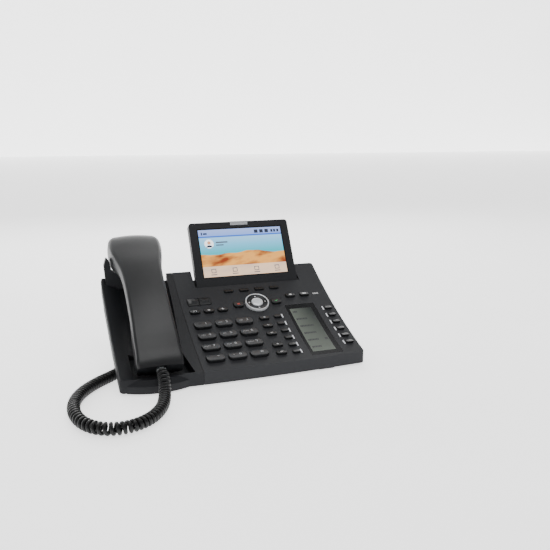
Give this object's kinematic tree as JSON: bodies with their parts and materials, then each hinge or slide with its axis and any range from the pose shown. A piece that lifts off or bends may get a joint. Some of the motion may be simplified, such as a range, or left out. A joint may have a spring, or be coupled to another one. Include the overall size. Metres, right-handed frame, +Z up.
{
  "type": "desk_ip_phone",
  "caption": "Desk IP phone with curly-corded handset, tilting colour display, number pad, navigation ring, side line display and line keys",
  "frame": {"origin": "on the desk under the middle of the phone, leaving out the cord", "axes": "+Z up, +X to the user's right, +Y away from the user"},
  "size_m": [0.2831, 0.2375, 0.1278],
  "materials": {
    "charcoal_plastic": "fine even texture",
    "dark_cover_plastic": "fine even texture",
    "key_plastic": "smooth satin",
    "silver_trim": "satin metallic paint",
    "smoke_window": "polished",
    "display_glass": "polished",
    "mono_display": "matte film over grey-green panel",
    "light_lens": "frosted translucent",
    "rubber": "matte",
    "silicone": "matte",
    "board_green": "solder mask",
    "steel": "zinc plated",
    "black_plastic": "moulded",
    "clear_plastic": "clear moulded",
    "cord_jacket": "satin vinyl"
  },
  "bodies": {
    "base": {"lower_housing": "charcoal_plastic", "cradle_cover": "dark_cover_plastic", "keypad_cover": "charcoal_plastic", "key_mat": "silicone", "main_board": "board_green", "line_display": "mono_display", "line_display_window": "smoke_window", "line_light_guides": "light_lens", "desk_stand": "charcoal_plastic", "rubber_feet": "rubber", "housing_screws": "steel", "loudspeaker": "black_plastic", "jack_sockets": "black_plastic", "hinge_pins": "steel", "handset_cord": "cord_jacket", "base_plug": "clear_plastic"},
    "display": {"display_frame": "charcoal_plastic", "display_rear_cover": "charcoal_plastic", "colour_display": "black_plastic", "display_window": "display_glass", "message_light": "light_lens"},
    "handset": {"handset_outer_shell": "charcoal_plastic", "handset_inner_shell": "charcoal_plastic", "handset_receiver": "black_plastic", "handset_microphone": "black_plastic", "handset_plug": "clear_plastic"},
    "hook_lever": {"hook_lever": "black_plastic"},
    "volume_rocker": {"volume_rocker": "key_plastic"},
    "key_1": {"key_1": "key_plastic"},
    "key_2": {"key_2": "key_plastic"},
    "key_3": {"key_3": "key_plastic"},
    "key_4": {"key_4": "key_plastic"},
    "key_5": {"key_5": "key_plastic"},
    "key_6": {"key_6": "key_plastic"},
    "key_7": {"key_7": "key_plastic"},
    "key_8": {"key_8": "key_plastic"},
    "key_9": {"key_9": "key_plastic"},
    "key_star": {"key_star": "key_plastic"},
    "key_0": {"key_0": "key_plastic"},
    "key_hash": {"key_hash": "key_plastic"},
    "function_key_1": {"function_key_1": "key_plastic"},
    "function_key_2": {"function_key_2": "key_plastic"},
    "function_key_3": {"function_key_3": "key_plastic"},
    "function_key_4": {"function_key_4": "key_plastic"},
    "function_key_5": {"function_key_5": "key_plastic"},
    "soft_key_1": {"soft_key_1": "key_plastic"},
    "soft_key_2": {"soft_key_2": "key_plastic"},
    "soft_key_3": {"soft_key_3": "key_plastic"},
    "soft_key_4": {"soft_key_4": "key_plastic"},
    "headset_key": {"headset_key": "key_plastic"},
    "loudspeaker_key": {"loudspeaker_key": "key_plastic"},
    "mute_key": {"mute_key": "key_plastic"},
    "cancel_key": {"cancel_key": "key_plastic"},
    "confirm_key": {"confirm_key": "key_plastic"},
    "directory_key": {"directory_key": "key_plastic"},
    "message_key": {"message_key": "key_plastic"},
    "navigation_ring": {"navigation_ring": "silver_trim"},
    "select_key": {"select_key": "silver_trim"},
    "line_keys_left": {"line_keys_left": "key_plastic"},
    "line_keys_right": {"line_keys_right": "key_plastic"}
  },
  "joints": [
    {"name": "display_tilt", "type": "hinge", "parent": "base", "child": "display", "pos_m": [0.035, 0.04172, 0.0623], "axis": [1, 0, 0], "range_deg": [-20, 28]},
    {"name": "handset_lift", "type": "slide", "parent": "base", "child": "handset", "axis": [0, 0, 1], "range_m": [0, 0.06]},
    {"name": "hook_press", "type": "slide", "parent": "base", "child": "hook_lever", "axis": [0, 0, 1], "range_m": [-0.003, 0], "stiffness_N_per_m": 200},
    {"name": "volume_rock", "type": "hinge", "parent": "base", "child": "volume_rocker", "pos_m": [-0.0249, 0.01939, 0.05304], "axis": [0, 0.8868, 0.4622], "range_deg": [-4, 4], "stiffness_Nm_per_rad": 0.05},
    {"name": "key_1_press", "type": "slide", "parent": "base", "child": "key_1", "axis": [0, -0.4035, 0.915], "range_m": [-0.0015, 0], "stiffness_N_per_m": 300},
    {"name": "key_2_press", "type": "slide", "parent": "base", "child": "key_2", "axis": [0, -0.4035, 0.915], "range_m": [-0.0015, 0], "stiffness_N_per_m": 300},
    {"name": "key_3_press", "type": "slide", "parent": "base", "child": "key_3", "axis": [0, -0.4035, 0.915], "range_m": [-0.0015, 0], "stiffness_N_per_m": 300},
    {"name": "key_4_press", "type": "slide", "parent": "base", "child": "key_4", "axis": [0, -0.3753, 0.9269], "range_m": [-0.0015, 0], "stiffness_N_per_m": 300},
    {"name": "key_5_press", "type": "slide", "parent": "base", "child": "key_5", "axis": [0, -0.3753, 0.9269], "range_m": [-0.0015, 0], "stiffness_N_per_m": 300},
    {"name": "key_6_press", "type": "slide", "parent": "base", "child": "key_6", "axis": [0, -0.3753, 0.9269], "range_m": [-0.0015, 0], "stiffness_N_per_m": 300},
    {"name": "key_7_press", "type": "slide", "parent": "base", "child": "key_7", "axis": [0, -0.347, 0.9379], "range_m": [-0.0015, 0], "stiffness_N_per_m": 300},
    {"name": "key_8_press", "type": "slide", "parent": "base", "child": "key_8", "axis": [0, -0.347, 0.9379], "range_m": [-0.0015, 0], "stiffness_N_per_m": 300},
    {"name": "key_9_press", "type": "slide", "parent": "base", "child": "key_9", "axis": [0, -0.347, 0.9379], "range_m": [-0.0015, 0], "stiffness_N_per_m": 300},
    {"name": "key_star_press", "type": "slide", "parent": "base", "child": "key_star", "axis": [0, -0.3188, 0.9478], "range_m": [-0.0015, 0], "stiffness_N_per_m": 300},
    {"name": "key_0_press", "type": "slide", "parent": "base", "child": "key_0", "axis": [0, -0.3188, 0.9478], "range_m": [-0.0015, 0], "stiffness_N_per_m": 300},
    {"name": "key_hash_press", "type": "slide", "parent": "base", "child": "key_hash", "axis": [0, -0.3188, 0.9478], "range_m": [-0.0015, 0], "stiffness_N_per_m": 300},
    {"name": "function_key_1_press", "type": "slide", "parent": "base", "child": "function_key_1", "axis": [0, -0.4108, 0.9117], "range_m": [-0.0015, 0], "stiffness_N_per_m": 300},
    {"name": "function_key_2_press", "type": "slide", "parent": "base", "child": "function_key_2", "axis": [0, -0.3901, 0.9208], "range_m": [-0.0015, 0], "stiffness_N_per_m": 300},
    {"name": "function_key_3_press", "type": "slide", "parent": "base", "child": "function_key_3", "axis": [0, -0.3695, 0.9292], "range_m": [-0.0015, 0], "stiffness_N_per_m": 300},
    {"name": "function_key_4_press", "type": "slide", "parent": "base", "child": "function_key_4", "axis": [0, -0.3387, 0.9409], "range_m": [-0.0015, 0], "stiffness_N_per_m": 300},
    {"name": "function_key_5_press", "type": "slide", "parent": "base", "child": "function_key_5", "axis": [0, -0.3181, 0.9481], "range_m": [-0.0015, 0], "stiffness_N_per_m": 300},
    {"name": "soft_key_1_press", "type": "slide", "parent": "base", "child": "soft_key_1", "axis": [0, -0.4867, 0.8736], "range_m": [-0.0015, 0], "stiffness_N_per_m": 300},
    {"name": "soft_key_2_press", "type": "slide", "parent": "base", "child": "soft_key_2", "axis": [0, -0.4867, 0.8736], "range_m": [-0.0015, 0], "stiffness_N_per_m": 300},
    {"name": "soft_key_3_press", "type": "slide", "parent": "base", "child": "soft_key_3", "axis": [0, -0.4867, 0.8736], "range_m": [-0.0015, 0], "stiffness_N_per_m": 300},
    {"name": "soft_key_4_press", "type": "slide", "parent": "base", "child": "soft_key_4", "axis": [0, -0.4867, 0.8736], "range_m": [-0.0015, 0], "stiffness_N_per_m": 300},
    {"name": "headset_key_press", "type": "slide", "parent": "base", "child": "headset_key", "axis": [0, -0.4416, 0.8972], "range_m": [-0.0015, 0], "stiffness_N_per_m": 300},
    {"name": "loudspeaker_key_press", "type": "slide", "parent": "base", "child": "loudspeaker_key", "axis": [0, -0.4416, 0.8972], "range_m": [-0.0015, 0], "stiffness_N_per_m": 300},
    {"name": "mute_key_press", "type": "slide", "parent": "base", "child": "mute_key", "axis": [0, -0.4416, 0.8972], "range_m": [-0.0015, 0], "stiffness_N_per_m": 300},
    {"name": "cancel_key_press", "type": "slide", "parent": "base", "child": "cancel_key", "axis": [0, -0.4481, 0.894], "range_m": [-0.0015, 0], "stiffness_N_per_m": 300},
    {"name": "confirm_key_press", "type": "slide", "parent": "base", "child": "confirm_key", "axis": [0, -0.4481, 0.894], "range_m": [-0.0015, 0], "stiffness_N_per_m": 300},
    {"name": "directory_key_press", "type": "slide", "parent": "base", "child": "directory_key", "axis": [0, -0.4619, 0.8869], "range_m": [-0.0015, 0], "stiffness_N_per_m": 300},
    {"name": "message_key_press", "type": "slide", "parent": "base", "child": "message_key", "axis": [0, -0.4619, 0.8869], "range_m": [-0.0015, 0], "stiffness_N_per_m": 300},
    {"name": "navigation_ring_press", "type": "slide", "parent": "base", "child": "navigation_ring", "axis": [0, -0.4548, 0.8906], "range_m": [-0.0015, 0], "stiffness_N_per_m": 300},
    {"name": "select_key_press", "type": "slide", "parent": "base", "child": "select_key", "axis": [0, -0.4548, 0.8906], "range_m": [-0.0015, 0], "stiffness_N_per_m": 300},
    {"name": "line_keys_left_press", "type": "slide", "parent": "base", "child": "line_keys_left", "axis": [0, -0.3653, 0.9309], "range_m": [-0.0015, 0], "stiffness_N_per_m": 300},
    {"name": "line_keys_right_press", "type": "slide", "parent": "base", "child": "line_keys_right", "axis": [0, -0.3749, 0.9271], "range_m": [-0.0015, 0], "stiffness_N_per_m": 300}
  ]
}
